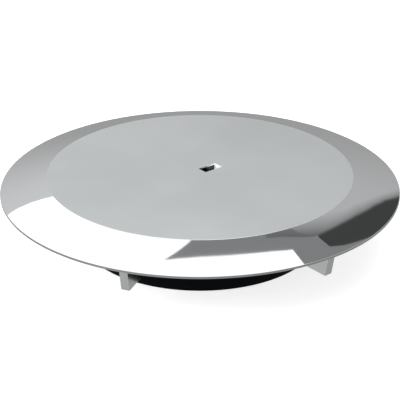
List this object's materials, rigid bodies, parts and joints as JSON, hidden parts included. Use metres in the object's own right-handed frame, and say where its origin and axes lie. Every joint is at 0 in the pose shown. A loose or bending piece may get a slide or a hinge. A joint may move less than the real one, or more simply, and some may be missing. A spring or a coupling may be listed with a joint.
{
  "type": "ceiling air diffuser",
  "caption": "Round ceiling air diffuser: a lift-off bevelled steel face on radial spacer fins over a sealed spigot with a rotary damper.",
  "frame": {"origin": "on the diffuser's axis at the lower end of the duct seal", "axes": "+Z out of the face into the room, +X along the key slot; in service +Z points down"},
  "size_m": [0.208, 0.208, 0.0368],
  "materials": {
    "face_steel": "satin flat middle with a mirror-polished bevel",
    "fin_steel": "polished",
    "pocket_steel": "bright folded sheet",
    "carrier_steel": "galvanised",
    "zinc_steel": "bright zinc plating",
    "spring_steel": "blued spring steel",
    "post_steel": "turned",
    "damper_steel": "galvanised",
    "rivet_aluminium": "plain",
    "black_paint": "satin powder coat",
    "black_rubber": "smooth moulded rubber",
    "gasket_foam": "closed-cell foam",
    "socket_plastic": "moulded",
    "bush_plastic": "moulded acetal",
    "knob_plastic": "moulded"
  },
  "bodies": {
    "collar": {"collar": "black_paint", "duct_seal": "black_rubber", "ceiling_gasket": "gasket_foam", "seat_plate": "damper_steel", "seat_rivets": "rivet_aluminium", "centre_post": "post_steel", "post_washer": "zinc_steel", "post_nut": "zinc_steel", "stop_pin": "zinc_steel", "disc_spring": "spring_steel", "thrust_washer": "zinc_steel", "post_circlip": "spring_steel"},
    "face": {"face_plate": "face_steel", "key_pocket": "pocket_steel", "carrier_spider": "carrier_steel", "spacer_fin_1": "fin_steel", "spacer_fin_2": "fin_steel", "spacer_fin_3": "fin_steel", "spacer_fin_4": "fin_steel", "spacer_fin_5": "fin_steel", "spacer_fin_6": "fin_steel", "fin_screws": "zinc_steel", "face_studs": "zinc_steel", "stud_washers": "zinc_steel", "stud_nuts": "zinc_steel", "hub_socket": "socket_plastic", "hub_screws": "zinc_steel", "grip_crown": "spring_steel"},
    "damper": {"damper_rotor": "damper_steel", "rotor_bush": "bush_plastic", "damper_knob": "knob_plastic"}
  },
  "joints": [
    {"name": "face_lift", "type": "slide", "parent": "collar", "child": "face", "axis": [0, 0, 1], "range_m": [0, 0.06]},
    {"name": "damper_turn", "type": "hinge", "parent": "collar", "child": "damper", "pos_m": [0, 0, 0.0126], "axis": [0, 0, 1], "range_deg": [0, 30]}
  ]
}
